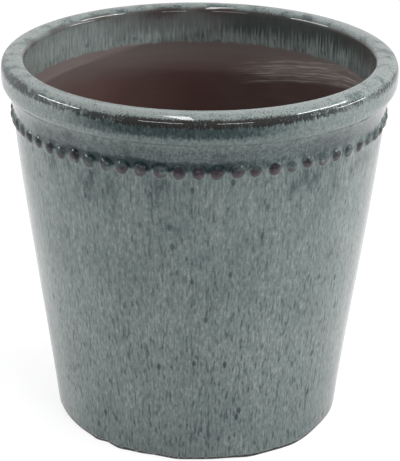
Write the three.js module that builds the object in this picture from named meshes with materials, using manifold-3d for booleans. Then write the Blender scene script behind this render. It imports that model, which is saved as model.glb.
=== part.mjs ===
// A glazed stoneware flower pot: a tapered wall on a foot ring, a floor slab with a drain hole on the wall's
// inner ledge, a flared collar, a rolled rim and a row of clay beads round the neck.
// Millimetres, +Z up. The origin is on the table, on the pot's axis.

import * as THREE from 'three';
import { mergeVertices } from 'three/addons/utils/BufferGeometryUtils.js';
import Module from 'manifold-3d';

// Overall sizes: the height to the rim's crest, and the outer radii at the foot and at the neck under the collar.
const potHeight = 356.3;
const footRadius = 139.2;
const neckRadius = 174.9;
const wallThickness = 12;

// The wall draws in a little low down and swells above the middle: its offsets from a straight taper.
const lowSwell = -1.3;
const highSwell = 4.2;

// Collar and rim, stacked on the wall: the collar up to the groove, the rim from there to its belly and its crest.
const collarHeight = 20;
const rimUnderHeight = 13.3;
const rimTopHeight = 14;
const rimOverhang = 10.1;
const crestInset = 7.5;
const lipInset = 0.4;
const lipTurn = 12.5;
const collarHollow = 2.6;
const grooveInset = 3.6;
const grooveDepth = 0.7;
const grooveWidth = 1.6;

// Foot and floor.
const footRound = 2.6;
const ledgeHeight = 8;
const ledgeWidth = 9;
const floorThickness = 14;
const drainRadius = 14;

// Beads: pellets pressed against the wall just under the collar, in strips joined by a thin web of clay.
const beadDiameter = 12;
const beadProud = 4;
const beadSpacing = 4.6;
const beadToCollar = 0.6;
const beadStrips = 22;
const webHeight = 4;
const webProud = 1;

// The slip that joins two pieces of clay.
const slipJoint = 0.3;

// How finely the round shapes are drawn.
const turns = 72;
const wallRings = 8;
const footSteps = 3;
const collarSteps = 4;
const rimSteps = 5;
const beadSides = 10;
const beadRings = 6;
const weldDistance = 1e-4;

// How far a round corner's curve runs straight on from each end, as a share of the corner's side, and how much of
// the groove's inset the rim's underside takes up in its first third.
const roundShare = 0.55;
const fullShare = 0.62;
const underShare = 0.6;

const bellyHeight = potHeight - rimTopHeight;
const grooveHeight = bellyHeight - rimUnderHeight;
const neckHeight = grooveHeight - collarHeight;
const rimRadius = neckRadius + rimOverhang;
const crestRadius = rimRadius - crestInset;
const grooveRadius = rimRadius - grooveInset;
const mouthRadius = neckRadius - wallThickness - lipInset;
const floorTop = ledgeHeight + floorThickness;

const glaze = { color: 0x73807f, roughness: 0.2, metalness: 0 };
const rimGlaze = { color: 0x808b8a, roughness: 0.18, metalness: 0 };
const beadGlaze = { color: 0x5a5557, roughness: 0.22, metalness: 0 };
const brownWash = { color: 0x4b3d3a, roughness: 0.55, metalness: 0 };

const wasm = await Module();
wasm.setup();

const pot = new THREE.Group();

function addPiece(name, geometry, look) {
  const mesh = new THREE.Mesh(geometry, new THREE.MeshStandardMaterial(look));
  mesh.name = name;
  pot.add(mesh);
}

// Keeps only the positions, with the vertices that coincide made one.
function welded(geometry) {
  const bare = geometry.clone();
  bare.deleteAttribute('normal');
  bare.deleteAttribute('uv');
  return mergeVertices(bare, weldDistance);
}

function toSolid(geometry) {
  const bare = welded(geometry);
  const vertProperties = new Float32Array(bare.attributes.position.array);
  const triVerts = new Uint32Array(bare.index.array);
  return new wasm.Manifold(new wasm.Mesh({ numProp: 3, vertProperties, triVerts }));
}

function toGeometry(solid) {
  const mesh = solid.getMesh();
  const geometry = new THREE.BufferGeometry();
  geometry.setAttribute('position', new THREE.BufferAttribute(mesh.vertProperties, 3));
  geometry.setIndex(new THREE.BufferAttribute(mesh.triVerts, 1));
  geometry.computeVertexNormals();
  return geometry;
}

// Turns a section of [radius, height] points about the pot's axis. The section runs up the outside and down the
// inside; unless it starts and ends on the axis it is closed here.
function turned(section) {
  const points = section.map(([radius, height]) => new THREE.Vector2(radius, height));
  if (points[0].x > 0) points.push(points[0].clone());
  const geometry = new THREE.LatheGeometry(points, turns);
  geometry.rotateX(Math.PI / 2);
  const bare = welded(geometry);
  bare.computeVertexNormals();
  return bare;
}

// Points along a cubic curve between two section points, with its first point left out.
function curve(steps, start, leave, arrive, end) {
  const vectors = [start, leave, arrive, end].map(([x, y]) => new THREE.Vector2(x, y));
  const points = new THREE.CubicBezierCurve(...vectors).getPoints(steps);
  return points.slice(1).map((point) => [point.x, point.y]);
}

// The wall's outer radius at a height.
function wallRadius(height) {
  const t = height / neckHeight;
  const taper = footRadius + (neckRadius - footRadius) * t;
  const swell = 3 * t * (1 - t) * (lowSwell * (1 - t) + highSwell * t);
  return taper + swell;
}

function innerRadius(height) {
  return wallRadius(height) - wallThickness;
}

// Even steps of height, both ends included.
function heights(low, high, steps) {
  return Array.from({ length: steps + 1 }, (_, i) => low + ((high - low) * i) / steps);
}

const outerWall = heights(footRound, neckHeight, wallRings).map((height) => [wallRadius(height), height]);

function wall() {
  const footEdge = wallRadius(footRound);
  const footFlat = footEdge - footRound;
  const footInner = innerRadius(ledgeHeight) - ledgeWidth;
  const footTurn = curve(
    footSteps,
    [footFlat, 0],
    [footFlat + roundShare * footRound, 0],
    [footEdge, footRound - roundShare * footRound],
    [footEdge, footRound],
  );
  const inside = heights(floorTop, neckHeight, wallRings).reverse();
  return turned([
    [footFlat, 0],
    ...footTurn,
    ...outerWall.slice(1),
    ...inside.map((height) => [innerRadius(height), height]),
    [innerRadius(ledgeHeight), ledgeHeight],
    [footInner, ledgeHeight],
    [footInner, 0],
  ]);
}

// The floor lies on the wall's ledge.
function floorSlab() {
  return turned([
    [innerRadius(ledgeHeight) - slipJoint, ledgeHeight],
    [innerRadius(floorTop) - slipJoint, floorTop],
    [drainRadius, floorTop],
    [drainRadius, ledgeHeight],
  ]);
}

// The collar stands on the wall's top edge and flares out, hollow at first, to half of the groove under the rim.
function collarBand() {
  const grooveLow = grooveHeight - grooveWidth / 2;
  const flare = grooveRadius - neckRadius;
  const rise = grooveLow - neckHeight;
  const side = curve(
    collarSteps,
    [neckRadius, neckHeight],
    [neckRadius + flare / 3 - collarHollow / 2, neckHeight + rise / 3],
    [grooveRadius - flare / 3 - collarHollow / 2, grooveLow - rise / 3],
    [grooveRadius, grooveLow],
  );
  return turned([
    [neckRadius, neckHeight],
    ...side,
    [grooveRadius - grooveDepth, grooveHeight],
    [mouthRadius, grooveHeight],
    [innerRadius(neckHeight), neckHeight],
  ]);
}

// The rim: from the groove out to its belly, over the crest and gently down to the mouth.
function rimRoll() {
  const grooveHigh = grooveHeight + grooveWidth / 2;
  const under = bellyHeight - grooveHigh;
  const belly = curve(
    rimSteps,
    [grooveRadius, grooveHigh],
    [grooveRadius + underShare * grooveInset, grooveHigh + under / 3],
    [rimRadius, bellyHeight - under / 3],
    [rimRadius, bellyHeight],
  );
  const shoulder = curve(
    rimSteps,
    [rimRadius, bellyHeight],
    [rimRadius, bellyHeight + fullShare * rimTopHeight],
    [crestRadius + fullShare * crestInset, potHeight],
    [crestRadius, potHeight],
  );
  const lip = curve(
    rimSteps,
    [crestRadius, potHeight],
    [(crestRadius + mouthRadius) / 2, potHeight],
    [mouthRadius, potHeight],
    [mouthRadius, potHeight - lipTurn],
  );
  return turned([
    [grooveRadius - grooveDepth, grooveHeight],
    [grooveRadius, grooveHigh],
    ...belly,
    ...shoulder,
    ...lip,
    [mouthRadius, grooveHeight],
  ]);
}

// What a bead pressed against the pot can't reach: all that lies inside the wall's face, with the slip joint round it,
// carried straight up behind the collar.
function wallClearance() {
  const reach = outerWall.map(([radius, height]) => [radius + slipJoint, height]);
  return toSolid(turned([
    [0, footRound],
    ...reach,
    [neckRadius + slipJoint, grooveHeight],
    [0, grooveHeight],
  ]));
}

// A ball whose cap stands proud of the wall, with the stated diameter where it meets the wall.
const beadHeight = neckHeight - beadDiameter / 2 - beadToCollar;
const beadBase = wallRadius(beadHeight) + slipJoint;
const ballRadius = ((beadDiameter / 2) ** 2 + beadProud ** 2) / (2 * beadProud);
const ballCentre = beadBase + beadProud - ballRadius;
const beadCount = Math.floor((2 * Math.PI * beadBase) / (beadDiameter + beadSpacing));
const beadStep = (2 * Math.PI) / beadCount;
const frontAngle = -Math.PI / 2;

// The angle of a place in the ring of beads, which starts at the front of the pot, on -Y.
function ringAngle(place) {
  return frontAngle + place * beadStep;
}

function bead(angle) {
  const ball = new THREE.SphereGeometry(ballRadius, beadSides, beadRings);
  ball.rotateZ(-Math.PI / 2);
  ball.translate(ballCentre, 0, beadHeight);
  ball.rotateZ(angle);
  return toSolid(ball);
}

// The web runs straight from one bead to the next.
function web(angle) {
  const reach = 2 * beadBase * Math.sin(beadStep / 2);
  const depth = webProud + wallThickness / 2;
  const bar = new THREE.BoxGeometry(depth, reach, webHeight);
  bar.translate(beadBase + webProud - depth / 2, 0, beadHeight);
  bar.rotateZ(angle);
  return toSolid(bar);
}

// The beads from one place in the ring up to the next strip's first bead, with a web before each but the first.
function beadStrip(first, nextFirst, clearance) {
  let strip = bead(ringAngle(first));
  for (let place = first + 1; place < nextFirst; place += 1) {
    strip = strip.add(web(ringAngle(place - 0.5)));
    strip = strip.add(bead(ringAngle(place)));
  }
  return toGeometry(strip.subtract(clearance));
}

// The ring's beads are shared out evenly: a strip's first bead is the one at or after its share of the ring.
function firstBead(strip) {
  return Math.ceil((strip * beadCount) / beadStrips);
}

addPiece('wall', wall(), glaze);
addPiece('floor_slab', floorSlab(), brownWash);
addPiece('collar_band', collarBand(), glaze);
addPiece('rim_roll', rimRoll(), rimGlaze);

const clearance = wallClearance();
for (let strip = 0; strip < beadStrips; strip += 1) {
  const name = `bead_strip_${String(strip + 1).padStart(2, '0')}`;
  addPiece(name, beadStrip(firstBead(strip), firstBead(strip + 1), clearance), beadGlaze);
}

export default pot;
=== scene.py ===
# Glazed stoneware flower pot: streaked grey-teal glaze that breaks to brown on its edges, brown wash inside.
import math
import random

import bpy
from mathutils import Matrix, Vector, noise


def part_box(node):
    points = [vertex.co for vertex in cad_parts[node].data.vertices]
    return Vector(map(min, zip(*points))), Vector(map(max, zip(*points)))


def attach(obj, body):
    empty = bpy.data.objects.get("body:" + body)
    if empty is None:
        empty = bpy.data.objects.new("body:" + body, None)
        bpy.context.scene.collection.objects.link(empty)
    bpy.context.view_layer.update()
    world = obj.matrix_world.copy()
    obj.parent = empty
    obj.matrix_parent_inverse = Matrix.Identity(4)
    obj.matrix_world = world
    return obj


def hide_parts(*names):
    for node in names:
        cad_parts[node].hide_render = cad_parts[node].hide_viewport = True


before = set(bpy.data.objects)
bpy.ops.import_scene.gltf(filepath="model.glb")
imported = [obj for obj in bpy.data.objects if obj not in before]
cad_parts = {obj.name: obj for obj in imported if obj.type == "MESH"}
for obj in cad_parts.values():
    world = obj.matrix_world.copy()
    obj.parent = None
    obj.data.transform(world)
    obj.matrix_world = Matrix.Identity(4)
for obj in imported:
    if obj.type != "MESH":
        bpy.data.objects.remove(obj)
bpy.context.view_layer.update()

scene = bpy.context.scene
scene.view_settings.view_transform = "Standard"

# the solids give the heights and radii, in metres
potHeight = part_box("rim_roll")[1].z
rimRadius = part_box("rim_roll")[1].x
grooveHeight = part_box("collar_band")[1].z
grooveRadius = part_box("collar_band")[1].x
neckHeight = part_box("wall")[1].z
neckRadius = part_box("wall")[1].x
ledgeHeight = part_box("floor_slab")[0].z
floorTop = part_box("floor_slab")[1].z
mm = 0.001

potShape = {  # the rest of the solids' section
    "footRadius": 139.2 * mm,
    "lowSwell": -1.3 * mm,  # the wall draws in low down and swells above the middle
    "highSwell": 4.2 * mm,
    "wallThickness": 12 * mm,
    "lipInset": 0.4 * mm,
}
mouthRadius = neckRadius - potShape["wallThickness"] - potShape["lipInset"]
print("frame loaded: pot %.0f mm high, %.0f mm across" % (potHeight / mm, 2 * rimRadius / mm))


def wallRadius(height):
    share = height / neckHeight
    taper = potShape["footRadius"] + (neckRadius - potShape["footRadius"]) * share
    swell = potShape["lowSwell"] * (1 - share) + potShape["highSwell"] * share
    return taper + 3 * share * (1 - share) * swell


def innerRadius(height):
    return wallRadius(height) - potShape["wallThickness"]


def pixelColour(red, green, blue):  # 0 to 255 as seen on a screen, to the renderer's linear colour
    def linear(level):
        level /= 255
        return level / 12.92 if level <= 0.04045 else ((level + 0.055) / 1.055) ** 2.4
    return linear(red), linear(green), linear(blue), 1.0


class Wire:
    # one output of a node: sums written on wires add Math nodes
    def __init__(self, tree, socket=None):
        self.tree = tree
        self.socket = socket

    def node(self, kind, settings, sockets, out=0):
        made = self.tree.nodes.new("ShaderNode" + kind)
        for key, value in settings.items():
            if key == "stops":
                ramp = made.color_ramp.elements
                while len(ramp) < len(value):
                    ramp.new(1.0)
                for stop, (place, colour) in zip(ramp, value):
                    stop.position, stop.color = place, colour
            else:
                setattr(made, key, value)
        for key, value in sockets.items():
            if isinstance(value, Wire):
                self.tree.links.new(value.socket, made.inputs[key])
            else:
                made.inputs[key].default_value = value
        return Wire(self.tree, made.outputs[out])

    def sum(self, operation, *values):
        return self.node("Math", {"operation": operation}, dict(enumerate(values)))

    def __add__(self, other):
        return self.sum("ADD", self, other)

    def __sub__(self, other):
        return self.sum("SUBTRACT", self, other)

    def __rsub__(self, other):
        return self.sum("SUBTRACT", other, self)

    def __mul__(self, other):
        return self.sum("MULTIPLY", self, other)

    __radd__ = __add__
    __rmul__ = __mul__

    def between(self, low, high):  # 0 at low, 1 at high, smooth in between
        sockets = {"Value": self, "From Min": low, "From Max": high}
        return self.node("MapRange", {"interpolation_type": "SMOOTHSTEP"}, sockets)

    def near(self, middle, width):  # 1 at the middle, 0 from width away
        return 1 - self.sum("ABSOLUTE", self - middle).between(0.0, width)

    def span(self, low, high):  # low where this is 0, high where it is 1
        return low + (high - low) * self

    def swing(self, depth):  # a noise's stray to both sides of its middle
        return (self - 0.5) * depth

    def grain(self, scale, detail=2.0, roughness=0.5):
        sockets = {"Vector": self, "Scale": scale, "Detail": detail, "Roughness": roughness}
        return self.node("TexNoise", {}, sockets)

    def along(self, axis):  # one part of a direction or a place
        return self.node("SeparateXYZ", {}, {0: self}, axis)

    def mixed(self, first, second):  # colours, this wire being the second one's share
        ends = [end if isinstance(end, Wire) else pixelColour(*end) for end in (first, second)]
        return self.node("Mix", {"data_type": "RGBA"}, {0: self, 6: ends[0], 7: ends[1]}, 2)

    def bumped(self, strength, depth):
        sockets = {"Strength": strength, "Distance": depth, "Height": self}
        return self.node("Bump", {}, sockets, "Normal")

    def grey(self):
        return self.node("CombineColor", {}, {0: self, 1: self, 2: self})


# where a point lies on the pot: itself, the direction round the axis and the height
def potPlace(tree):
    point = Wire(tree).node("TexCoord", {}, {}, "Object")
    flat = point.node("VectorMath", {"operation": "MULTIPLY"}, {0: point, 1: (1, 1, 0)})
    around = flat.node("VectorMath", {"operation": "NORMALIZE"}, {0: flat})
    return point, around, point.along("Z")


def axisDistance(point):
    flat = point.node("VectorMath", {"operation": "MULTIPLY"}, {0: point, 1: (1, 1, 0)})
    return flat.node("VectorMath", {"operation": "LENGTH"}, {0: flat}, "Value")


# the direction round the axis as two shares from -1 to 1: left to right, and front to back
def aroundShares(around):
    return around.along("X"), around.along("Y")


# 1 where the skin looks towards a place so many degrees round from the front, 0 a quarter turn away from it
def facing(around, degrees):
    toward = (math.sin(math.radians(degrees)), -math.cos(math.radians(degrees)), 0)
    return around.node("VectorMath", {"operation": "DOT_PRODUCT"}, {0: around, 1: toward}, "Value")


# the pot's skin unrolled, with heights squeezed, so that a noise on it comes out drawn up and down
def drawnOut(around, height, squeeze):
    ring = around.node("VectorMath", {"operation": "SCALE"}, {0: around, "Scale": neckRadius})
    upright = height.node("CombineXYZ", {}, {"Z": height * squeeze})
    return ring.node("VectorMath", {"operation": "ADD"}, {0: ring, 1: upright})


def skinGrain(around, height, scale, squeeze, detail=2.0, roughness=0.5):
    return drawnOut(around, height, squeeze).grain(scale, detail, roughness)


# a material is named after the function that makes its shader
def newMaterial(makeShader):
    material = bpy.data.materials.new(makeShader.__name__)
    material.use_nodes = True
    tree = material.node_tree
    tree.nodes.remove(tree.nodes["Principled BSDF"])
    tree.links.new(makeShader(tree).socket, tree.nodes["Material Output"].inputs["Surface"])
    return material


glazeTones = [  # from where the glaze has broken to the clay to where it has pooled
    (0.00, (22, 20, 20)),
    (0.10, (39, 37, 37)),
    (0.19, (76, 76, 75)),
    (0.26, (110, 114, 112)),
    (0.33, (130, 138, 136)),
    (0.42, (106, 117, 115)),
    (0.52, (87, 99, 98)),
    (0.64, (60, 71, 72)),
    (0.80, (33, 49, 52)),
    (1.00, (12, 33, 37)),
]

glazeGloss = {"roughness": 0.4, "under": 0.08, "coatRoughness": 0.03, "bump": 0.06, "bumpDepth": 0.5 * mm}


def glazeColour(thickness):
    stops = [(place, pixelColour(*colour)) for place, colour in glazeTones]
    return thickness.node("ValToRGB", {"stops": stops}, {0: thickness})


def glazeShader(colour, ripple, gloss=1.0, roughness=glazeGloss["roughness"]):
    bump = ripple.bumped(glazeGloss["bump"], glazeGloss["bumpDepth"])
    skin = {"Base Color": colour, "Roughness": roughness, "Specular IOR Level": glazeGloss["under"],
            "Coat Weight": gloss, "Coat Roughness": glazeGloss["coatRoughness"], "Normal": bump}
    return colour.node("BsdfPrincipled", {}, skin)


# in all the looks below, a noise is a scale, on the skin a squeeze of its heights, a detail and a roughness;
# a cut is where a noise begins to show and where it shows in full; depths add to the glaze's thickness
streakLook = {
    "thickness": 0.468,
    "dash": (530, 0.36, 0.4), "dashDepth": 0.27,  # short, paler and darker
    "drop": (410, 0.27, 0.0), "dropCut": (0.56, 0.76), "dropDepth": 0.15,
    "dropShare": (0.55, 1.0),  # dark drops, high up and low down
    "run": (400, 0.09, 1.0), "runDepth": 0.17,  # longer and fainter
    "grain": (700, 0.80, 1.0), "grainDepth": 0.20,
    "cloud": (20, 0.8), "cloudDepth": 0.14,
    "lowSpan": (0.15 * neckHeight, 0.9 * neckHeight),
    "middle": (0.45 * neckHeight, 0.45 * neckHeight), "middlePaler": 0.03,
    "leftOnCollar": 0.2,  # the share of the marks that is left there
    "rippleDash": 0.4, "rippleGrain": 0.3, "rippleMottle": 0.3,
}

# dark specks, drawn downward: cells of the skin, each with its own chance and size
speckLook = {"scale": 62, "squeeze": 0.60, "depth": 0.31, "share": (0.6, 1.0), "ragged": 0.10,
             "core": 0.06, "reach": (0.15, 0.24), "chance": (0.10, 0.40)}

# the collar is mottled instead, has dark blotches, most at its sides, carries painted shade at its sides, and
# is paler up to the groove
collarGlaze = {
    "edge": (neckHeight - 2 * mm, neckHeight + 6 * mm), "depth": 0.10,
    "mottle": (430, 0.85, 1.5, 0.55), "mottleDepth": 0.34,
    "blotch": (60, 2.5), "blotchCut": (0.48, 0.70), "blotchDepth": (0.08, 0.16),
    "frontSpan": (0.70, 0.92), "sidePaintedShade": 0.04,
    "palerSpan": (grooveHeight - 9 * mm, grooveHeight), "palerShare": 0.25,
}

# dark smudges under the beads
smudgeLook = {"place": (neckHeight - 24 * mm, 24 * mm), "depth": 0.17,
              "noise": (60, 0.55), "cut": (0.45, 0.72)}

# the crease over the beads, where the glaze ran together, darkened further with painted shade, deepest at so
# many degrees round from the front
poolAndPaintedShadeLook = {
    "rise": (neckHeight - 8 * mm, neckHeight - 3.5 * mm),
    "fall": (neckHeight + 0.3 * mm, neckHeight + 4.8 * mm),
    "depth": 0.60, "edge": (130, 0.7), "waver": 6 * mm,
    "deepest": -17, "deepSpan": (0.72, 0.95), "base": (0.08, 0.50),
    "patch": (62, 2.0), "patchMottle": 0.3, "patchCut": (0.40, 0.62), "patchDepth": (0.30, 0.65),
}


def collarThickness(point, around, height, mottle):
    look = collarGlaze
    sides = 1 - facing(around, 0).between(*look["frontSpan"])
    blotch = point.grain(*look["blotch"]).between(*look["blotchCut"]) * sides.span(*look["blotchDepth"])
    paler = height.between(*look["palerSpan"]).span(1, look["palerShare"])
    # painted shade darkens the collar's sides
    return mottle.swing(look["mottleDepth"]) + look["depth"] * paler + blotch + look["sidePaintedShade"] * sides


def speckThickness(around, height, dash, low):
    look = speckLook
    cells = {"Vector": drawnOut(around, height, look["squeeze"]), "Scale": look["scale"]}
    reach = height.node("TexVoronoi", {}, cells) + dash.swing(look["ragged"])
    cellTint = height.node("TexVoronoi", {}, cells, "Color")
    chance = cellTint.node("SeparateColor", {}, {0: cellTint}, "Red")
    size = cellTint.node("SeparateColor", {}, {0: cellTint}, "Green")
    speck = (1 - reach.between(look["core"], size.span(*look["reach"]))) * chance.between(*look["chance"])
    return speck * look["depth"] * low.span(*look["share"])


# pooled glaze in the crease over the beads, deepened with painted shade
def poolAndPaintedShadeThickness(point, around, height, mottle):
    look = poolAndPaintedShadeLook
    patch = (point.grain(*look["patch"]) + mottle.swing(look["patchMottle"])).between(*look["patchCut"])
    deep = facing(around, look["deepest"]).between(*look["deepSpan"])
    strength = deep.span(*look["base"]) + patch * deep.span(*look["patchDepth"])
    lifted = height + skinGrain(around, height, *look["edge"]).swing(look["waver"])
    poolAndPaintedShade = lifted.between(*look["rise"]) * (1 - lifted.between(*look["fall"]))
    return poolAndPaintedShade * strength * look["depth"]


# how thick the running glaze lies on the wall and the collar, and the ripple of its surface
def runningGlaze(tree):
    look = streakLook
    point, around, height = potPlace(tree)
    dash, drop, run, grain, cloud = [skinGrain(around, height, *look[mark])
                                     for mark in ("dash", "drop", "run", "grain", "cloud")]
    mottle = skinGrain(around, height, *collarGlaze["mottle"])
    onCollar = height.between(*collarGlaze["edge"])
    onWall = onCollar.span(1, look["leftOnCollar"])
    low = 1 - height.between(*look["lowSpan"])
    marks = dash.swing(look["dashDepth"]) + run.swing(look["runDepth"])
    marks = marks + drop.between(*look["dropCut"]) * look["dropDepth"] * low.span(*look["dropShare"])
    marks = marks + speckThickness(around, height, dash, low)
    thickness = look["thickness"] + marks * onWall + grain.swing(look["grainDepth"])
    thickness = thickness + cloud.swing(look["cloudDepth"])
    thickness = thickness - height.near(*look["middle"]) * look["middlePaler"]
    thickness = thickness + collarThickness(point, around, height, mottle) * onCollar
    smudge = skinGrain(around, height, *smudgeLook["noise"]).between(*smudgeLook["cut"])
    thickness = thickness + smudge * height.near(*smudgeLook["place"]) * smudgeLook["depth"]
    thickness = thickness + poolAndPaintedShadeThickness(point, around, height, mottle)
    ripple = dash * look["rippleDash"] + grain * look["rippleGrain"] + mottle * look["rippleMottle"]
    return thickness, ripple


# the thin brown line at the foot, where the glaze was wiped away
footLine = {"span": (2.8 * mm, 4.2 * mm), "depth": 0.40, "wipe": (180, 1.0), "waver": 2.5 * mm}


def streakedGlaze(tree):
    thickness, ripple = runningGlaze(tree)
    around, height = potPlace(tree)[1:]
    wiped = height + skinGrain(around, height, *footLine["wipe"]).swing(footLine["waver"])
    bare = 1 - wiped.between(*footLine["span"])
    return glazeShader(glazeColour(thickness - bare * footLine["depth"]), ripple)


# edges and places are shares of a bead's radius; hidden and bare are the degrees round from the front
# where the glaze covers the beads most and least
beadTone = {
    # top is the clay's colour at the bead's top, darkened with painted shade
    "low": (74, 68, 72), "top": (37, 34, 37), "paintedTopShadeUp": 0.8, "shadeWorn": 2.4, "shadeCut": (-0.45, 0.55),
    "worn": (420, 2.0, 0.6), "edgeWorn": 0.5, "crownEdge": (0.76, 0.98),
    # the pale ring: thinner glaze on each bead's fillet, with a painted highlight there
    "ring": 0.36, "ringPlace": (1.06, 0.17), "ringNoise": (160, 1.0), "ringShare": (0.01, 0.81),
    "cover": (75, 1.0), "coverUp": 0.20, "coverWorn": 0.3, "coverCut": (0.50, 0.68), "coverShare": 0.9,
    "hidden": -28, "hiddenSpan": (0.86, 0.98), "hiddenMore": 0.06,
    "bare": 8, "bareSpan": (0.95, 0.99), "bareLess": 0.12,
    "pooled": 0.61, "pooledEdge": (0.78, 1.0),  # the crown's glaze is no thicker than this
    "roughness": 0.5, "gloss": (0.5, 1.0), "glossSpan": (1.0, 1.3),
}


def beadGlaze(tree):
    look = beadTone
    thickness, ripple = runningGlaze(tree)
    point, around = potPlace(tree)[:2]
    far = Wire(tree).node("Attribute", {"attribute_name": "beadFar"}, {}, "Fac")
    up = Wire(tree).node("Attribute", {"attribute_name": "beadUp"}, {}, "Fac")
    worn = point.grain(*look["worn"])
    reach = far + worn.swing(look["edgeWorn"])
    covered = point.grain(*look["cover"]) + up * look["coverUp"] + worn.swing(look["coverWorn"])
    covered = covered + facing(around, look["hidden"]).between(*look["hiddenSpan"]) * look["hiddenMore"]
    covered = covered - facing(around, look["bare"]).between(*look["bareSpan"]) * look["bareLess"]
    covered = covered.between(*look["coverCut"]) * look["coverShare"]
    crown = (1 - reach.between(*look["crownEdge"])) * (1 - covered)
    capped = thickness.sum("MINIMUM", thickness, look["pooled"])
    thickness = thickness + (capped - thickness) * (1 - reach.between(*look["pooledEdge"]))
    # the pale ring round each bead: partly thinner glaze on its fillet, partly a painted highlight there
    ring = reach.near(*look["ringPlace"]) * point.grain(*look["ringNoise"]).span(*look["ringShare"])
    thickness = thickness * (1 - ring) + look["ring"] * ring
    # the bead's clay darkens towards its top: partly worn glaze, partly painted shade
    paintedTopShadeAndWear = (up * look["paintedTopShadeUp"] + worn.swing(look["shadeWorn"])).between(*look["shadeCut"])
    clay = paintedTopShadeAndWear.mixed(look["low"], look["top"])
    gloss = far.between(*look["glossSpan"]).span(*look["gloss"])
    roughness = crown.span(glazeGloss["roughness"], look["roughness"])
    return glazeShader(crown.mixed(glazeColour(thickness), clay), ripple, gloss, roughness)


rimLook = {
    "mottle": (760, 2.5, 0.65), "hair": (620, 0.3, 1.5), "rippleMottle": 0.2, "rippleHair": 0.1,
    # the top
    "topSpan": (potHeight - 9 * mm, potHeight - 5 * mm), "topThickness": 0.345,
    # the crest's front is painted paler: a painted reflection
    "paintedCrestSheenSpan": (0.55, 0.90), "paintedCrestSheen": 0.035, "mottleCut": (0.50, 0.72), "mottleDepth": 0.30,
    "patch": (64, 2.0), "patchMottle": 0.7, "patchCut": (0.46, 0.72), "patchDepth": (0.24, 0.096),
    "innerSpan": (mouthRadius + 6 * mm, mouthRadius + 12 * mm), "innerLean": 0.35, "innerDepth": 0.18,
    "backSpan": (0.5, 0.9), "backDepth": 0.025,
    # the side, drawn into hairs
    "frontSpan": (0.80, 0.98), "sideThickness": (0.42, 0.485), "sideHair": 0.15, "sideMottle": 0.30,
}

# the rim's belly, where the glaze is thick, darkened further with painted shade and a painted dark
# reflection, most of all in front
bellyGlazeAndPaintedShade = {"rise": (potHeight - 23 * mm, potHeight - 16.5 * mm), "waver": 4 * mm,
             "fall": (potHeight - 12 * mm, potHeight - 7 * mm), "depth": (0.099, 0.297),
             "lean": 0.15, "frontSpan": (0.84, 0.98), "frontShare": (0.08, 1.0)}

# the rim's outer shoulder, where the glaze ran thin and broke to brown, darker in front and at the left
breakLook = {
    "height": potHeight - 7.3 * mm, "lift": 1.8 * mm, "fade": (1.6 * mm, 5.4 * mm), "ragged": 5 * mm,
    "edge": (rimRadius - 9 * mm, rimRadius - 4.5 * mm), "leftSpan": (0.45, 0.85),
    "base": 0.36, "front": 0.42, "left": 0.34,
    "patch": 0.35, "patchNoise": (24, 2.0), "patchCut": (0.38, 0.58),
    "level": 1.05, "stipple": (800, 1.5, 0.6), "stippleDepth": (1.8, 3.2), "hairDepth": 1.6,
    "spots": (330, 2.0, 0.6), "spotDepth": (4.0, 0.0), "cut": (0.05, 0.85), "share": 0.93,
    "frontTone": (38, 34, 33), "sideTone": (40, 46, 48),
}

# the worn edge of the mouth, and where the band inside it begins
mouthLook = {"place": (mouthRadius + 0.9 * mm, 3.0 * mm), "ragged": 2 * mm,
             "tone": (56, 48, 46), "share": 0.9,
             "patch": (20, 1.0), "patchCut": (0.42, 0.58), "patchShare": (0.35, 1.0),
             "inside": (mouthRadius + 0.3 * mm, mouthRadius + 1.6 * mm)}


def rimTopThickness(point, around, mottle):
    look = rimLook
    rightward, backward = aroundShares(around)
    # the front of the rim top is painted paler as a painted reflection, with fainter patches there
    crest = (0 - backward).between(*look["paintedCrestSheenSpan"])
    patch = (point.grain(*look["patch"]) + mottle.swing(look["patchMottle"])).between(*look["patchCut"])
    inner = 1 - axisDistance(point).between(*look["innerSpan"])
    inner = inner * (0 - backward - look["innerLean"] * rightward).between(*look["frontSpan"])
    top = look["topThickness"] - look["paintedCrestSheen"] * crest
    top = top + mottle.between(*look["mottleCut"]) * look["mottleDepth"]
    top = top + patch * crest.span(*look["patchDepth"]) + inner * look["innerDepth"]
    return top + backward.between(*look["backSpan"]) * look["backDepth"]


# thicker glaze under the rim plus painted shade and a painted dark reflection, strongest in front
def rimBellyGlazeAndPaintedShade(around, height, radius, drawn, hair):
    look = bellyGlazeAndPaintedShade
    rightward, backward = aroundShares(around)
    front = (0 - backward - look["lean"] * rightward).between(*look["frontSpan"])
    bellyAndPaintedShade = (height + drawn.swing(look["waver"])).between(*look["rise"]) * (1 - height.between(*look["fall"]))
    bellyAndPaintedShade = bellyAndPaintedShade * front.span(*look["frontShare"]) * radius.between(*breakLook["edge"])
    return bellyAndPaintedShade * hair.span(*look["depth"])


def brokenShoulder(point, around, height, radius, hair, front):
    look = breakLook
    left = (0 - aroundShares(around)[0]).between(*look["leftSpan"])
    ragged = height + hair.swing(look["ragged"])
    away = ragged.sum("ABSOLUTE", ragged - look["height"] - left * look["lift"])
    shoulder = (1 - away.between(*look["fade"])) * radius.between(*look["edge"])
    patch = point.grain(*look["patchNoise"]).between(*look["patchCut"])
    shoulder = shoulder * (look["base"] + look["front"] * front + look["left"] * left + look["patch"] * patch)
    rough = look["level"] + point.grain(*look["stipple"]).swing(front.span(*look["stippleDepth"]))
    rough = rough + point.grain(*look["spots"]).swing(front.span(*look["spotDepth"]))
    rough = rough + hair.swing(look["hairDepth"])
    return (shoulder * rough).between(*look["cut"]) * look["share"]


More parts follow.
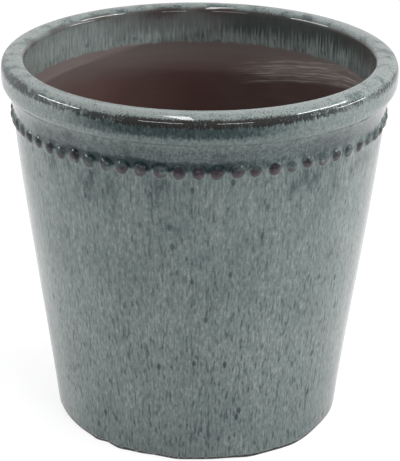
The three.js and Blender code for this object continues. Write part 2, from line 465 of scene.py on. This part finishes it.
def rimGlaze(tree):
    look, mouth = rimLook, mouthLook
    point, around, height = potPlace(tree)
    radius = axisDistance(point)
    mottle = point.grain(*look["mottle"])
    hair = skinGrain(around, height, *look["hair"])
    drawn = skinGrain(around, height, *collarGlaze["mottle"])
    front = (0 - aroundShares(around)[1]).between(*look["frontSpan"])
    onTop = height.between(*look["topSpan"])
    side = front.span(*look["sideThickness"]) + hair.swing(look["sideHair"]) + drawn.swing(look["sideMottle"])
    thickness = side * (1 - onTop) + rimTopThickness(point, around, mottle) * onTop
    thickness = thickness + rimBellyGlazeAndPaintedShade(around, height, radius, drawn, hair)
    shoulder = brokenShoulder(point, around, height, radius, hair, front)
    broken = front.mixed(breakLook["sideTone"], breakLook["frontTone"])
    outer = shoulder.mixed(glazeColour(thickness), broken)
    inside = 1 - radius.between(*mouth["inside"])
    colour = inside.mixed(outer, innerBand(around, height))
    edge = (radius + mottle.swing(mouth["ragged"])).near(*mouth["place"]) * onTop
    edge = edge * point.grain(*mouth["patch"]).between(*mouth["patchCut"]).span(*mouth["patchShare"])
    colour = (edge * mouth["share"]).mixed(colour, mouth["tone"])
    return glazeShader(colour, mottle * look["rippleMottle"] + hair * look["rippleHair"])


# the glaze that ran down inside the mouth: streaked, with painted shade along its upper part but for the left
# side
bandLook = {
    "leftSpan": (0.25, 0.8), "rightSpan": (0.45, 0.85), "thickness": 0.38, "rightDepth": 0.03,
    "long": (400, 0.09, 1.5), "longDepth": (0.22, 0.528), "fine": (520, 0.18, 1.5, 0.6), "fineDepth": 0.36,
    "drop": (230, 0.35, 1.0), "dropCut": (0.58, 0.72), "dropDepth": 0.22,
    "dropPlace": (neckHeight + 14 * mm, 9 * mm),
    "paintedShade": (84, 85, 85), "paintedShadeRight": (47, 53, 51), "paintedShadeTurn": (0.0, 0.3), "paintedShadeShare": (0.88, 0.132),
    "paintedShadeSpan": (neckHeight + 9 * mm, neckHeight + 30 * mm), "paintedShadeWaver": 34 * mm, "paintedShadeDrop": 4.5 * mm,
    "brown": (54, 47, 45), "brownSpan": (potHeight - 19 * mm, potHeight - 6 * mm), "brownWaver": 9 * mm,
    "brownLeft": 0.7, "brownRight": 0.5,
    "patch": (16, 1.0, 1.0), "patchCut": (0.40, 0.58), "patchShare": (0.15, 0.75),
}


def innerBand(around, height):
    look = bandLook
    long = skinGrain(around, height, *look["long"])
    fine = skinGrain(around, height, *look["fine"])
    rightward = aroundShares(around)[0]
    left = (0 - rightward).between(*look["leftSpan"])
    right = rightward.between(*look["rightSpan"])
    thickness = look["thickness"] + fine.swing(look["fineDepth"]) + right * look["rightDepth"]
    thickness = thickness + long.swing(right.span(*look["longDepth"]))
    drop = skinGrain(around, height, *look["drop"]).between(*look["dropCut"])
    thickness = thickness + drop * height.near(*look["dropPlace"]) * look["dropDepth"]
    # painted shade on the band's upper part, darker at the right, with the left side left lit
    paintedShade = height + long.swing(look["paintedShadeWaver"]) - right * look["paintedShadeDrop"]
    paintedShade = paintedShade.between(*look["paintedShadeSpan"]) * left.span(*look["paintedShadeShare"])
    paintedShadeTurn = rightward.between(*look["paintedShadeTurn"])
    paintedShadeTone = paintedShadeTurn.mixed(look["paintedShade"], look["paintedShadeRight"])
    colour = paintedShade.mixed(glazeColour(thickness), paintedShadeTone)
    brown = (height + fine.swing(look["brownWaver"])).between(*look["brownSpan"])
    brown = brown * (1 - look["brownLeft"] * left - look["brownRight"] * right)
    patch = skinGrain(around, height, *look["patch"]).between(*look["patchCut"])
    return (brown * patch.span(*look["patchShare"])).mixed(colour, look["brown"])


washLook = {
    "dark": (89, 65, 61), "light": (97, 79, 75), "cloud": (14, 2.0), "cloudShare": 0.7, "cut": (0.3, 0.7),
    "wiped": (26, 9.0, 3.0, 0.6), "wipedShare": 0.3,
    # grey is a painted sheen of the front light over the upper wash
    "grey": (113, 109, 107), "paintedSheenSpan": (neckHeight - 32 * mm, neckHeight + 6 * mm), "paintedSheenShare": 0.55,
    "speck": (160, 150, 142), "speckScale": 26, "speckEdge": (0.02, 0.035),
    "roughness": 0.5, "under": 0.3, "bump": 0.12, "bumpDepth": 0.5 * mm,
}

# marks wiped across the wash at the back, lightened with painted light, in degrees round from the front; they
# fall towards the back, and their heights are read where their slope would meet the front
smearLook = {
    "begin": (90, 104), "end": (150, 172), "slope": 0.165, "waver": 3 * mm, "waverScale": 4.0,
    "rise": (352 * mm, 353.5 * mm), "fall": (367 * mm, 381 * mm), "share": 0.6, "colour": (158, 149, 144),
    "thin": (420, 2.0, 0.65), "stretch": 0.012,
    "smearCut": (0.4, 0.65), "smearShare": (0.3, 1.0), "lineCut": (0.38, 0.58), "lineShare": (0.25, 1.0),
}
# the pale lines, painted highlights along the wiping ridges: height and width in millimetres, and strength
smearLines = [(355.0, 1.0, 0.9), (360.5, 0.8, 0.7), (363.0, 0.8, 0.8), (370.0, 0.9, 0.75), (374.5, 0.9, 0.6)]


# how strongly the wiped marks show, partly wiped wash and partly painted light: thin slanting lines, drawn
# out along the way of the hand
def wipedSmearsAndPaintedLight(around, height):
    look = smearLook
    rightward, backward = aroundShares(around)
    turned = rightward.sum("ARCTAN2", rightward, 0 - backward)
    waver = turned.node("TexNoise", {"noise_dimensions": "1D"},
                        {"W": turned, "Scale": look["waverScale"], "Detail": 1.0})
    level = height + turned * (look["slope"] * innerRadius(neckHeight)) + waver.swing(look["waver"])
    drawn = level.node("CombineXYZ", {}, {"X": turned * look["stretch"], "Y": level})
    thin = drawn.grain(*look["thin"])
    # the band between rise and fall is painted lighter, painted light where the front light reaches lower
    marks = level.between(*look["rise"]) * (1 - level.between(*look["fall"])) * look["share"]
    marks = marks * thin.between(*look["smearCut"]).span(*look["smearShare"])
    line = thin.between(*look["lineCut"]).span(*look["lineShare"])
    for middle, width, strength in smearLines:
        marks = marks + level.near(middle * mm, width * mm) * strength * line
    begin, end = [[math.radians(turn) for turn in look[key]] for key in ("begin", "end")]
    return marks * turned.between(*begin) * (1 - turned.between(*end))


# the wash's colour, and the wiped noise that also ripples it
def washColour(point, around, height):
    look = washLook
    wiped = skinGrain(around, height, *look["wiped"])
    share = wiped * look["wipedShare"] + point.grain(*look["cloud"]) * look["cloudShare"]
    colour = share.between(*look["cut"]).mixed(look["dark"], look["light"])
    # the upper wash is painted greyer: a painted sheen of the front light
    grey = height.between(*look["paintedSheenSpan"]) * look["paintedSheenShare"]
    colour = grey.mixed(colour, look["grey"])
    colour = wipedSmearsAndPaintedLight(around, height).mixed(colour, smearLook["colour"])
    reach = point.node("TexVoronoi", {}, {"Vector": point, "Scale": look["speckScale"]})
    return (1 - reach.between(*look["speckEdge"])).mixed(colour, look["speck"]), wiped


def brownWash(tree):
    colour, wiped = washColour(*potPlace(tree))
    bump = wiped.bumped(washLook["bump"], washLook["bumpDepth"])
    skin = {"Base Color": colour, "Roughness": washLook["roughness"], "Specular IOR Level": washLook["under"],
            "Normal": bump}
    return colour.node("BsdfPrincipled", {}, skin)


dripLook = {"span": (neckHeight + 8 * mm, neckHeight + 11 * mm), "waver": 6 * mm,
            "drip": (110, 0.05, 2.0, 0.6)}


# inside the collar the glaze ends in drips over the brown wash
def drippedGlaze(tree):
    point, around, height = potPlace(tree)
    drip = skinGrain(around, height, *dripLook["drip"])
    covered = (height + drip.swing(dripLook["waver"])).between(*dripLook["span"])
    colour = covered.mixed(washColour(point, around, height)[0], innerBand(around, height))
    skin = {"Base Color": colour, "Roughness": covered.span(washLook["roughness"], glazeGloss["roughness"]),
            "Specular IOR Level": washLook["under"], "Coat Weight": covered,
            "Coat Roughness": glazeGloss["coatRoughness"]}
    return colour.node("BsdfPrincipled", {}, skin)


clayLook = {"dark": (120, 92, 74), "light": (168, 138, 114), "grit": (700, 3.0, 0.65), "cut": (0.3, 0.7),
            "roughness": 0.85, "bump": 0.4, "bumpDepth": 0.6 * mm}


def bareClay(tree):
    look = clayLook
    grit = potPlace(tree)[0].grain(*look["grit"])
    colour = grit.between(*look["cut"]).mixed(look["dark"], look["light"])
    skin = {"Base Color": colour, "Roughness": look["roughness"],
            "Normal": grit.bumped(look["bump"], look["bumpDepth"])}
    return colour.node("BsdfPrincipled", {}, skin)


shaders = {"streaks": streakedGlaze, "beads": beadGlaze, "rim": rimGlaze, "wash": brownWash,
           "drips": drippedGlaze, "clay": bareClay}
finishes = {finish: newMaterial(makeShader) for finish, makeShader in shaders.items()}
print("materials:", ", ".join(material.name for material in finishes.values()))


# the thrown clay strays from round in a slow sway and quicker ripples
thrownClay = {"stray": 0.35 * mm, "slowTurns": 1.3, "slowHeight": 110 * mm,
              "quickTurns": 5, "quickHeight": 35 * mm, "quickStart": 7, "quickShare": 0.4}
roundSteps = 6  # of a rounded corner's curve
roundShare = 0.45  # how near to the corner the curve is drawn
sharpAngle = math.radians(48)  # edges sharper than this aren't smoothed
sameHeight = 0.1 * mm


def ringNoise(angle, turns, level):
    return noise.noise(Vector((math.cos(angle) * turns, math.sin(angle) * turns, level)))


def thrown(angle, height):
    clay = thrownClay
    slow = ringNoise(angle, clay["slowTurns"], height / clay["slowHeight"])
    quick = ringNoise(angle, clay["quickTurns"], height / clay["quickHeight"] + clay["quickStart"])
    return clay["stray"] * (slow + clay["quickShare"] * quick)


def fromFront(angle):  # degrees round from the front, positive to the right
    return math.degrees(math.atan2(math.cos(angle), -math.sin(angle)))


# points along a curve, with its first point left out
def cubic(steps, start, leave, arrive, end):
    points = []
    for step in range(1, steps + 1):
        t = step / steps
        weights = ((1 - t) ** 3, 3 * t * (1 - t) ** 2, 3 * t * t * (1 - t), t ** 3)
        points.append(tuple(sum(w * p[axis] for w, p in zip(weights, (start, leave, arrive, end)))
                            for axis in (0, 1)))
    return points


def rounded(start, corner, end):
    leave, arrive = [tuple(c + roundShare * (p - c) for c, p in zip(corner, point)) for point in (start, end)]
    return cubic(roundSteps, start, leave, arrive, end)


def evenly(low, high, steps):
    return [low + (high - low) * step / steps for step in range(steps + 1)]


def finished(finish, points):
    return [(radius, height, finish) for radius, height in points]


def addPiece(name, points, faces, materials, marks, node):
    mesh = bpy.data.meshes.new(name)
    mesh.from_pydata(points, [], faces)
    for material in materials:
        mesh.materials.append(material)
    mesh.polygons.foreach_set("material_index", marks)
    mesh.polygons.foreach_set("use_smooth", [True] * len(faces))
    mesh.set_sharp_from_angle(angle=sharpAngle)
    mesh.update()
    piece = bpy.data.objects.new(name, mesh)
    scene.collection.objects.link(piece)
    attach(piece, "root")
    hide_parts(node)
    return piece


# turns an outline of (radius, height, finish) about the pot's axis: up the outside and down the inside;
# stray says how far out and up each point lies from its round place
def turnedPiece(name, outline, turns, stray, node):
    order = sorted({finish for radius, height, finish in outline})
    points, faces, marks = [], [], []
    for turn in range(turns):
        angle = 2 * math.pi * turn / turns
        for radius, height, finish in outline:
            out, up = stray(angle, radius, height, finish)
            points.append(((radius + out) * math.cos(angle), (radius + out) * math.sin(angle), height + up))
    count = len(outline)
    for turn in range(turns):
        here, there = turn * count, (turn + 1) % turns * count
        for i in range(count):
            j = (i + 1) % count
            faces.append((here + i, there + i, there + j, here + j))
            marks.append(order.index(outline[i][2]))
    return addPiece(name, points, faces, [finishes[finish] for finish in order], marks, node)


wallLook = {
    "turns": 320, "outsideRings": 110, "insideRings": 180, "insideStart": 1 * mm,
    "footRound": 2.6 * mm, "footInnerRound": 0.3, "ledgeWidth": 9 * mm,
    "footStray": 1.0 * mm, "footReach": 26 * mm,  # the trimmed foot isn't quite round
    "footNoises": [(2.2, 3.1, 1.0), (6.5, 8.4, 0.5)],  # turns, level and share
    "throwPitch": 11 * mm, "throwDepth": 0.04 * mm,  # the spiral that the fingers left inside
}

# the lumps of the foot, in degrees round from the front: where, how wide and how many millimetres out
footLumps = [(41, 13, 4.0), (21, 6, 2.6), (-7, 4, 1.2), (-17, 5, -1.4),
             (-31, 3, 1.6), (-38, 2.5, -1.6), (-43, 3, 1.4)]

# wiping marks inside the back, in degrees round from the front and millimetres up: from, to and how proud
wipeMarks = [
    ((171, 283), (148, 294), 0.3),
    ((163, 287), (116, 306), 0.35),
    ((152, 296), (110, 312), 0.25),
    ((146, 289), (118, 300), 0.35),
    ((158, 301), (128, 313), 0.2),
]
# their widths above and below and their waver in millimetres, how fast they waver in degrees,
# and as shares of their length how far they run on past their ends and how long they fade there
wipeLook = {"above": 1.68, "below": 4.32, "waver": 1.6, "waverTurn": 9, "runOn": 0.15, "fade": 0.25}


def wipedRidge(angle, height):
    look, turned, lift = wipeLook, fromFront(angle), 0.0
    for (startTurn, startHeight), (endTurn, endHeight), proud in wipeMarks:
        along = (turned - startTurn) / (endTurn - startTurn)
        inside = min(along, 1 - along) + look["runOn"]
        if inside > 0:
            waver = look["waver"] * noise.noise(Vector((turned / look["waverTurn"], startHeight, 0)))
            away = height / mm - (startHeight + (endHeight - startHeight) * along + waver)
            width = look["above"] if away > 0 else look["below"]
            lift += proud * min(1.0, inside / look["fade"]) * math.exp(-(away / width) ** 2)
    return lift * mm


def wallStray(angle, radius, height, finish):
    if finish == "wash":
        spiral = math.sin(2 * math.pi * height / wallLook["throwPitch"] + angle)
        return thrown(angle, height) - wipedRidge(angle, height) - wallLook["throwDepth"] * spiral, 0.0
    low = max(0.0, 1 - height / wallLook["footReach"]) ** 2
    lumps = sum(share * ringNoise(angle, turns, level) for turns, level, share in wallLook["footNoises"])
    lumps *= wallLook["footStray"]
    for middle, width, out in footLumps:
        lumps += out * mm * math.exp(-((fromFront(angle) - middle) / width) ** 2)
    return thrown(angle, height) + low * lumps, 0.0


def makeWall():
    look = wallLook
    foot = look["footRound"]
    edge = wallRadius(foot)
    footInner = innerRadius(ledgeHeight) - look["ledgeWidth"]
    turn = look["footInnerRound"] * foot
    outside = evenly(foot, neckHeight, look["outsideRings"])[1:-1]
    inside = evenly(ledgeHeight + look["insideStart"], neckHeight, look["insideRings"])[::-1]
    outline = finished("clay", [(footInner, ledgeHeight), (footInner, foot), (footInner + turn, turn),
                                (footInner + foot, 0.0), (edge - foot, 0.0)])
    outline += finished("streaks", rounded((edge - foot, 0.0), (edge, 0.0), (edge, foot)))
    outline += finished("streaks", [(wallRadius(height), height) for height in outside])
    outline += finished("wash", [(neckRadius, neckHeight)])
    outline += finished("wash", [(innerRadius(height), height) for height in inside])
    outline += finished("clay", [(innerRadius(ledgeHeight), ledgeHeight)])
    return turnedPiece("potWall", outline, look["turns"], wallStray, "wall")


floorLook = {"turns": 160, "rings": 60, "drainRadius": 14 * mm, "edgeRound": 2.5 * mm, "slip": 0.3 * mm,
             "spiralPitch": 14 * mm, "spiralDepth": 0.35 * mm}


def floorStray(angle, radius, height, finish):
    if height < floorTop - sameHeight:
        return 0.0, 0.0
    spiral = math.sin(2 * math.pi * radius / floorLook["spiralPitch"] + angle)
    return 0.0, floorLook["spiralDepth"] * (spiral - 1)


def makeFloor():
    look = floorLook
    hole, rounding = look["drainRadius"], look["edgeRound"]
    underside = innerRadius(ledgeHeight) - look["slip"]
    rings = evenly(innerRadius(floorTop) - look["slip"], hole + rounding, look["rings"])
    outline = finished("clay", [(hole + rounding, ledgeHeight), (underside, ledgeHeight)])
    outline += finished("wash", [(radius, floorTop) for radius in rings])
    drainEdge = rounded((hole + rounding, floorTop), (hole, floorTop), (hole, floorTop - rounding))
    outline += finished("wash", drainEdge)
    outline += finished("clay", [(hole, ledgeHeight + rounding)])
    return turnedPiece("floorSlab", outline, look["turns"], floorStray, "floor_slab")


collarLook = {"turns": 320, "sideSteps": 18, "insideSteps": 10, "hollow": 2.6 * mm,
              "grooveDepth": 0.16 * mm, "grooveWidth": 0.5 * mm, "fillPower": 1.5}


# of the collar and the rim; in front the glaze has filled the groove between them
def ringStray(angle, radius, height, finish):
    out = thrown(angle, height)
    if radius > neckRadius and abs(height - grooveHeight) < sameHeight:
        out += collarLook["grooveDepth"] * max(0.0, -math.sin(angle)) ** collarLook["fillPower"]
    return out, 0.0


def makeCollar():
    look = collarLook
    low = grooveHeight - look["grooveWidth"] / 2
    flare, rise, hollow = grooveRadius - neckRadius, low - neckHeight, look["hollow"] / 2
    side = cubic(look["sideSteps"], (neckRadius, neckHeight),
                 (neckRadius + flare / 3 - hollow, neckHeight + rise / 3),
                 (grooveRadius - flare / 3 - hollow, low - rise / 3), (grooveRadius, low))
    # inside, the wall's lean carries on and straightens up to the mouth
    below = innerRadius(neckHeight)
    lean = (below - innerRadius(neckHeight - 1 * mm)) / mm
    third = (grooveHeight - neckHeight) / 3
    inside = cubic(look["insideSteps"], (mouthRadius, grooveHeight), (mouthRadius, grooveHeight - third),
                   (below + lean * third, neckHeight + third), (below, neckHeight))
    outline = finished("streaks", [(neckRadius, neckHeight)] + side)
    outline += finished("drips", [(grooveRadius - look["grooveDepth"], grooveHeight)])
    outline += finished("drips", [(mouthRadius, grooveHeight)] + inside)
    return turnedPiece("collarBand", outline, look["turns"], ringStray, "collar_band")


rimShape = {"turns": 320, "underSteps": 14, "shoulderSteps": 26, "lipSteps": 24, "insideSteps": 6,
            "bellyTop": 12.3 * mm, "bellyLow": 15.3 * mm, "crestInset": 13 * mm,
            "underOut": 2.9 * mm, "underUp": 1.6 * mm, "sideShare": 0.8, "topShare": 0.72,
            "lipTurn": 8.5 * mm, "lipShare": 0.5, "lipDrop": 0.8 * mm}


def makeRim():
    shape = rimShape
    top, low = potHeight - shape["bellyTop"], potHeight - shape["bellyLow"]
    crest = rimRadius - shape["crestInset"]
    high = grooveHeight + collarLook["grooveWidth"] / 2
    lipLow = potHeight - shape["lipTurn"]
    outline = [(grooveRadius - collarLook["grooveDepth"], grooveHeight), (grooveRadius, high)]
    outline += cubic(shape["underSteps"], (grooveRadius, high),
                     (grooveRadius + shape["underOut"], high + shape["underUp"]),
                     (rimRadius, (low + high) / 2), (rimRadius, low))
    outline += cubic(shape["shoulderSteps"], (rimRadius, top),
                     (rimRadius, top + shape["sideShare"] * shape["bellyTop"]),
                     (crest + shape["topShare"] * shape["crestInset"], potHeight), (crest, potHeight))
    outline += cubic(shape["lipSteps"], (crest, potHeight),
                     (crest + (mouthRadius - crest) * shape["lipShare"], potHeight),
                     (mouthRadius, potHeight - shape["lipDrop"]), (mouthRadius, lipLow))
    outline += [(mouthRadius, height) for height in evenly(lipLow, grooveHeight, shape["insideSteps"])[1:]]
    outline = finished("rim", outline)
    return turnedPiece("rimRoll", outline, shape["turns"], ringStray, "rim_roll")


beadLook = {
    "strips": 22, "perStrip": 3, "radius": 6.3 * mm, "proud": 3.1 * mm, "height": neckHeight - 6.6 * mm,
    "sides": 30, "domeRings": 12, "domePower": 0.85, "root": 1.5 * mm,
    "skirtRings": 5, "skirtStart": 0.8, "skirt": 1.5, "skirtSink": 0.15 * mm, "fillet": 0.55 * mm,
}

# each bead strays from the even ring: by shares of its size, aside and up, and out of round
beadStray = {"wide": (-0.09, 0.09), "tall": (-0.06, 0.06), "proud": (-0.18, 0.054),
             "aside": (-0.7 * mm, 0.7 * mm), "above": (-0.7 * mm, 0.42 * mm),
             "lobes": (0, 6.28), "lean": (0.0, 0.05)}
beadSeed = 11


def beadRise(far, proud):  # the height over the wall, far being 1 at the bead's edge
    look = beadLook
    dome = proud * max(0.0, 1 - far * far) ** look["domePower"]
    fade = min(1.0, max(0.0, (far - look["skirtStart"]) / (look["skirt"] - look["skirtStart"])))
    skirt = look["fillet"] * (1 - fade * fade * (3 - 2 * fade))
    return math.hypot(dome, skirt) - look["skirtSink"] * fade


# the points of one bead from its crown out to its skirt, then one under its crown in the wall:
# for each its place, how far out it lies, and how far up
def beadPoints(angle, rings, dice):
    look = beadLook
    stray = {key: dice.uniform(*ends) for key, ends in beadStray.items()}
    wide = look["radius"] * (1 + stray["wide"])
    tall = wide * (1 + stray["tall"])
    proud = look["proud"] * (1 + stray["proud"])
    turns = [2 * math.pi * side / look["sides"] for side in range(look["sides"])]
    spots = [(0.0, 0.0, beadRise(0.0, proud))]
    for far in rings:
        spots += [(far, turn, beadRise(far, proud)) for turn in turns]
    spots.append((0.0, 0.0, -look["root"]))
    points = []
    for far, turn, rise in spots:
        stretch = far * (1 + stray["lean"] * math.sin(2 * turn + stray["lobes"]))
        height = look["height"] + tall * stretch * math.sin(turn) + stray["above"]
        at = angle + (wide * stretch * math.cos(turn) + stray["aside"]) / neckRadius
        radius = wallRadius(height) + thrown(at, height) + rise
        points.append(((radius * math.cos(at), radius * math.sin(at), height), far, far * math.sin(turn)))
    return points


# the faces of one bead: a fan at its crown, bands down to its skirt, and a fan under it
def beadFaces(first, ringCount):
    sides = beadLook["sides"]
    last = first + 1 + ringCount * sides
    faces = []
    for side in range(sides):
        after = (side + 1) % sides
        faces.append((first, first + 1 + side, first + 1 + after))
        for ring in range(ringCount - 1):
            low = first + 1 + ring * sides
            high = low + sides
            faces.append((low + side, high + side, high + after, low + after))
        faces.append((last, last - sides + after, last - sides + side))
    return faces


def makeBeadStrip(index, dice):
    look = beadLook
    step = 2 * math.pi / (look["strips"] * look["perStrip"])
    rings = [math.sin(share * math.pi / 2) for share in evenly(0.0, 1.0, look["domeRings"])[1:]]
    rings += evenly(1.0, look["skirt"], look["skirtRings"])[1:]
    points, faces = [], []
    for place in range(look["perStrip"]):
        angle = -math.pi / 2 + (index * look["perStrip"] + place) * step
        faces += beadFaces(len(points), len(rings))
        points += beadPoints(angle, rings, dice)
    places, fars, ups = zip(*points)
    strip = addPiece("beadStrip%02d" % (index + 1), places, faces, [finishes["beads"]], [0] * len(faces),
                     "bead_strip_%02d" % (index + 1))
    for key, values in (("beadFar", fars), ("beadUp", ups)):
        strip.data.attributes.new(key, "FLOAT", "POINT").data.foreach_set("value", values)
    return strip


pieces = [makeWall(), makeFloor(), makeCollar(), makeRim()]
beadDice = random.Random(beadSeed)
pieces += [makeBeadStrip(index, beadDice) for index in range(beadLook["strips"])]
print("pieces: %d, faces: %d" % (len(pieces), sum(len(piece.data.polygons) for piece in pieces)))


# what the glaze mirrors in front is a dark room, past the edge of a pale table
stageLook = {
    "floorSize": 12.0, "floorTone": 0.8, "shadowShare": 0.35, "openLevel": 0.6,
    "tableEdge": (-0.73, -0.70), "mirrorSpan": (-0.5, 0.1), "mirrorLevel": (0.3, 0.9), "mirrorShare": 0.5,
    "ambient": 0.06, "frontGloom": 0.06,
    "backSpan": (-0.55, 0.05), "topSpan": (0.55, 0.85), "backLevel": (0.7, 0.35),
}


def rayKinds(tree):
    return [Wire(tree).node("LightPath", {}, {}, kind) for kind in ("Is Camera Ray", "Is Glossy Ray")]


def paleFloor(tree):
    look = stageLook
    camera, glossy = rayKinds(tree)
    spot = camera.node("NewGeometry", {}, {}, "Position")
    depth = spot.along("Y")
    onTable = depth.between(*look["tableEdge"])
    mirrored = depth.between(*look["mirrorSpan"]).span(*look["mirrorLevel"])
    # seen by the camera, the open floor is white and still takes the pot's shadow
    fill = (1 - look["shadowShare"] * look["openLevel"]) / (1 - look["shadowShare"])
    glow = camera * fill + glossy * onTable.span(look["frontGloom"], mirrored)
    share = camera * (1 - look["shadowShare"]) + glossy * onTable.span(1, look["mirrorShare"])
    lit = camera.node("BsdfDiffuse", {}, {"Color": (look["floorTone"],) * 3 + (1,)})
    white = camera.node("Emission", {}, {"Color": glow.grey()})
    return camera.node("MixShader", {}, {0: share, 1: lit, 2: white})


def makeGround():
    half = stageLook["floorSize"] / 2
    corners = [(-half, -half, 0), (half, -half, 0), (half, half, 0), (-half, half, 0)]
    mesh = bpy.data.meshes.new("studioFloor")
    mesh.from_pydata(corners, [], [(0, 1, 2, 3)])
    mesh.materials.append(newMaterial(paleFloor))
    ground = bpy.data.objects.new("studioFloor", mesh)
    scene.collection.objects.link(ground)


def makeRoom():
    look = stageLook
    world = bpy.data.worlds.new("studio")
    scene.world = world
    world.use_nodes = True
    tree = world.node_tree
    camera, glossy = rayKinds(tree)
    way = camera.node("TexCoord", {}, {}, "Generated")
    behind = way.along("Y").between(*look["backSpan"])
    high = way.along("Z").between(*look["topSpan"])
    room = behind.span(look["frontGloom"], high.span(*look["backLevel"]))
    level = camera + glossy * room + (1 - camera - glossy) * look["ambient"]
    tree.links.new(level.grey().socket, tree.nodes["Background"].inputs["Color"])


# lamps: degrees round from the camera's side and up, distance, width, height and how bright their faces are
fillLamps = {  # not mirrored in the glaze
    "leftLowFill": (-88, 12, 2.0, 1.6, 0.50, 11.0),
    "leftHighFill": (-105, 38, 2.0, 0.40, 0.40, 6.4),
    "rightLowFill": (64, 12, 2.6, 0.50, 0.015, 1120.0),
    "rightHighFill": (80, 38, 2.0, 0.60, 0.50, 10.0),
    "rightBackFill": (105, 37, 2.0, 0.40, 0.40, 30.0),
    "frontFill": (-2, 14.9, 2.6, 0.25, 0.015, 620.0),
    "frontLeftFill": (-20, 14.9, 2.6, 0.60, 0.015, 150.0),
    "topFill": (20, 63, 1.9, 0.38, 1.25, 10.0),
    "backTopFill": (180, 76, 2.0, 1.2, 0.50, 8.8),
    "backFill": (180, 30, 2.2, 1.6, 0.60, 1.0),
}
mirrorLamps = {  # only for the highlights on the rim
    "leftStrip": (-85, 26, 1.8, 0.96, 0.07, 40.0),
    "rightHighStrip": (80, 40, 1.8, 1.03, 0.06, 60.0),
    "rightLowStrip": (90, 13, 1.8, 0.70, 0.06, 28.0),
    "frontLeftStrip": (-20.5, 14.6, 2.4, 0.98, 0.055, 24.0),
    "frontRightStrip": (19, 14.6, 2.4, 0.80, 0.055, 20.0),
}
lampAim = Vector((0, 0, 0.5 * potHeight))

# a long box hung over the pot, running from the camera's side to just behind the rim, mirrored too
overheadBox = {"place": (-0.130, -0.50, 1.45), "width": 0.15, "length": 1.15, "level": 12.5}


def addLamp(name, place, turned, width, height, level, mirrored):
    lamp = bpy.data.lights.new(name, "AREA")
    lamp.shape, lamp.size, lamp.size_y = "RECTANGLE", width, height
    lamp.energy = level * math.pi * width * height
    box = bpy.data.objects.new(name, lamp)
    box.location = place
    box.rotation_euler = turned
    box.visible_camera = False
    box.visible_glossy = mirrored
    box.visible_diffuse = not mirrored
    scene.collection.objects.link(box)


def makeLamps(lamps, mirrored):
    for name, (turn, lift, distance, width, height, level) in lamps.items():
        turn, lift = math.radians(turn), math.radians(lift)
        way = Vector((math.sin(turn) * math.cos(lift), -math.cos(turn) * math.cos(lift), math.sin(lift)))
        turned = way.to_track_quat("Z", "Y").to_euler()
        addLamp(name, lampAim + way * distance, turned, width, height, level, mirrored)


def makeOverheadBox():
    box = overheadBox
    addLamp("overheadBox", box["place"], (0, 0, 0), box["width"], box["length"], box["level"], True)


# fitted to the photograph: metres, radians, and the lens in millimetres
cameraView = {"distance": 1.5725, "rise": 0.4032, "aim": (0.00176, 0.0, 0.17532), "lens": 125.82,
              "roll": -0.0099}


def makeCamera():
    view = cameraView
    rise, roll = view["rise"], view["roll"]
    back = Vector((0, -math.cos(rise), math.sin(rise)))
    level, upright = Vector((1, 0, 0)), Vector((0, math.sin(rise), math.cos(rise)))
    right = level * math.cos(roll) - upright * math.sin(roll)
    up = level * math.sin(roll) + upright * math.cos(roll)
    lens = bpy.data.cameras.new("photoCamera")
    lens.lens = view["lens"]
    camera = bpy.data.objects.new("photoCamera", lens)
    turned = Matrix((right, up, back)).transposed().to_4x4()
    turned.translation = Vector(view["aim"]) + back * view["distance"]
    camera.matrix_world = turned
    scene.collection.objects.link(camera)
    scene.camera = camera


makeGround()
makeRoom()
makeLamps(fillLamps, False)
makeLamps(mirrorLamps, True)
makeOverheadBox()
makeCamera()
print("stage: floor, %d lamps and camera" % (len(fillLamps) + len(mirrorLamps) + 1))
